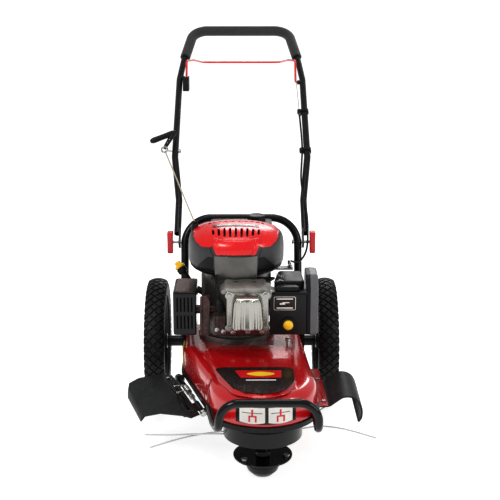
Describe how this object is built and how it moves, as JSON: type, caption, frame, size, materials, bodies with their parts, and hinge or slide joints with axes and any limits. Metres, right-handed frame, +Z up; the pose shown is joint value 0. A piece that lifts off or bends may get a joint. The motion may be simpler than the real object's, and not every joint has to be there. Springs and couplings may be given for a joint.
{
  "type": "walk-behind string trimmer",
  "caption": "Wheeled brush cutter: a petrol engine belt-drives a spinning line head ahead of big treaded wheels, with rubber guards, a bumper and a folding handle.",
  "frame": {"origin": "on the ground, at the middle of the machine's footprint from the bumper to the grip and between the tips of its guards", "axes": "+Z up, -Y forwards to the line head and bumper, +Y back to the operator, +X to the side with the air filter and the red knob's cable"},
  "size_m": [0.6262, 1.5314, 0.9935],
  "materials": {
    "red_paint": "gloss red enamel",
    "black_paint": "satin black powder coat",
    "grey_paint": "dark grey enamel",
    "steel": "bright zinc-plated steel",
    "dark_steel": "dark sintered or oiled steel",
    "cast_aluminium": "rough cast aluminium",
    "chrome": "polished",
    "brown_steel": "heat-browned steel",
    "tyre": "moulded rubber",
    "rubber": "matt rubber",
    "foam": "fine closed foam",
    "black_plastic": "fine grain",
    "grey_plastic": "fine grain",
    "red_plastic": "gloss",
    "yellow_plastic": "gloss",
    "line": "clear grey nylon",
    "rope": "braided cord",
    "porcelain": "glazed white insulator with a black boot"
  },
  "bodies": {
    "chassis": {"deck_shell": "red_paint", "deck_pan": "black_paint", "guard_bracket": "red_paint", "right_guard": "rubber", "bumper": "black_paint", "hinge_rod": "steel", "torsion_spring": "steel", "spindle_housing": "cast_aluminium", "spindle_bearings": "dark_steel", "drive_belt": "rubber", "engine_block": "cast_aluminium", "cylinder_head": "cast_aluminium", "valve_cover": "chrome", "spark_plug": "porcelain", "muffler": "brown_steel", "muffler_guard": "black_paint", "carburettor": "cast_aluminium", "air_filter_base": "black_plastic", "air_filter_cover": "black_plastic", "blower_housing": "grey_paint", "front_trim": "grey_plastic", "top_cover": "red_plastic", "fuel_tank": "black_plastic", "oil_filler": "black_plastic", "frame_bolts": "steel", "lower_frame": "black_paint", "axle": "steel", "starter_rope": "rope"},
    "handle": {"upper_handle": "black_paint", "foam_grip": "foam", "control_box": "black_plastic", "cable_clips": "black_plastic", "rope_guide": "steel", "brake_cable": "rubber"},
    "crank": {"crankshaft": "steel", "flywheel": "cast_aluminium", "engine_pulley": "dark_steel"},
    "trimmer_head": {"spindle_shaft": "steel", "spindle_pulley": "dark_steel", "line_head": "black_paint", "head_bolts": "steel", "trimmer_lines_left": "line", "trimmer_lines_right": "line"},
    "ground_cup": {"ground_cup": "black_paint"},
    "wheel_left": {"tyre_left": "tyre", "rim_left": "black_plastic"},
    "wheel_right": {"tyre_right": "tyre", "rim_right": "black_plastic"},
    "flap": {"flap_strip": "black_paint", "flap_rubber": "rubber", "flap_bolts": "steel"},
    "bail": {"bail": "red_paint"},
    "brake_lever": {"brake_lever": "black_plastic"},
    "knob_left": {"knob_left": "red_plastic"},
    "knob_right": {"knob_right": "red_plastic"},
    "primer_bulb": {"primer_bulb": "yellow_plastic"},
    "fuel_cap": {"fuel_cap": "black_plastic"},
    "oil_cap": {"oil_cap": "yellow_plastic"},
    "starter_handle": {"starter_handle": "black_plastic"},
    "recoil_pulley": {"recoil_pulley": "grey_plastic"}
  },
  "joints": [
    {"name": "wheel_left_spin", "type": "hinge", "parent": "chassis", "child": "wheel_left", "pos_m": [-0.235, -0.14375, 0.1775], "axis": [1, 0, 0], "continuous": true},
    {"name": "wheel_right_spin", "type": "hinge", "parent": "chassis", "child": "wheel_right", "pos_m": [0.235, -0.14375, 0.1775], "axis": [1, 0, 0], "continuous": true},
    {"name": "crank_spin", "type": "hinge", "parent": "chassis", "child": "crank", "pos_m": [-0.014, -0.25375, 0.3], "axis": [0, 0, 1], "continuous": true},
    {"name": "head_spin", "type": "hinge", "parent": "chassis", "child": "trimmer_head", "pos_m": [0.051, -0.61375, 0.15], "axis": [0, 0, 1], "continuous": true, "deforming": ["trimmer_lines_right"]},
    {"name": "cup_spin", "type": "hinge", "parent": "trimmer_head", "child": "ground_cup", "pos_m": [0.051, -0.61375, 0.03], "axis": [0, 0, 1], "continuous": true},
    {"name": "handle_fold", "type": "hinge", "parent": "chassis", "child": "handle", "pos_m": [0, -0.05575, 0.442], "axis": [1, 0, 0], "range_deg": [0, 125], "deforming": ["brake_cable", "starter_rope"]},
    {"name": "bail_press", "type": "hinge", "parent": "handle", "child": "bail", "pos_m": [0, 0.50925, 0.829], "axis": [1, 0, 0], "range_deg": [0, 16], "stiffness_Nm_per_rad": 1.2, "springref_deg": -20.05, "deforming": ["brake_cable"]},
    {"name": "brake_lever_turn", "type": "hinge", "parent": "chassis", "child": "brake_lever", "pos_m": [0.132, -0.19575, 0.41], "axis": [0, 0, 1], "range_deg": [-24, 0]},
    {"name": "flap_hinge", "type": "hinge", "parent": "chassis", "child": "flap", "pos_m": [-0.16662, -0.35519, 0.15], "axis": [-0.3049, 0.9524, 0], "range_deg": [0, 70], "stiffness_Nm_per_rad": 0.5, "springref_deg": -51.57, "deforming": ["torsion_spring"]},
    {"name": "knob_left_turn", "type": "hinge", "parent": "chassis", "child": "knob_left", "pos_m": [-0.2, -0.05575, 0.442], "axis": [1, 0, 0], "continuous": true},
    {"name": "knob_right_turn", "type": "hinge", "parent": "chassis", "child": "knob_right", "pos_m": [0.2, -0.05575, 0.442], "axis": [1, 0, 0], "continuous": true},
    {"name": "primer_push", "type": "slide", "parent": "chassis", "child": "primer_bulb", "axis": [0, 1, 0], "range_m": [0, 0.004], "stiffness_N_per_m": 300},
    {"name": "fuel_cap_turn", "type": "hinge", "parent": "chassis", "child": "fuel_cap", "pos_m": [0.042, -0.09175, 0.52], "axis": [0, 0, 1], "range_deg": [0, 90]},
    {"name": "oil_cap_turn", "type": "hinge", "parent": "chassis", "child": "oil_cap", "pos_m": [-0.16922, -0.18965, 0.40832], "axis": [-0.5624, 0.2432, 0.7903], "range_deg": [0, 90]},
    {"name": "starter_pull", "type": "slide", "parent": "handle", "child": "starter_handle", "axis": [-0.25, 0.938, 0.24], "range_m": [0, 0.45], "stiffness_N_per_m": 6, "springref_m": -0.5, "deforming": ["starter_rope"]},
    {"name": "recoil_spin", "type": "hinge", "parent": "chassis", "child": "recoil_pulley", "pos_m": [-0.014, -0.25375, 0.537], "axis": [0, 0, 1], "range_deg": [0, 600]}
  ],
  "couplings": [
    {"joint": "head_spin", "follows": "crank_spin", "ratio": 0.58333},
    {"joint": "brake_lever_turn", "follows": "bail_press", "ratio": -1.5},
    {"joint": "recoil_spin", "follows": "starter_pull", "rad_per_m": 21.739}
  ]
}
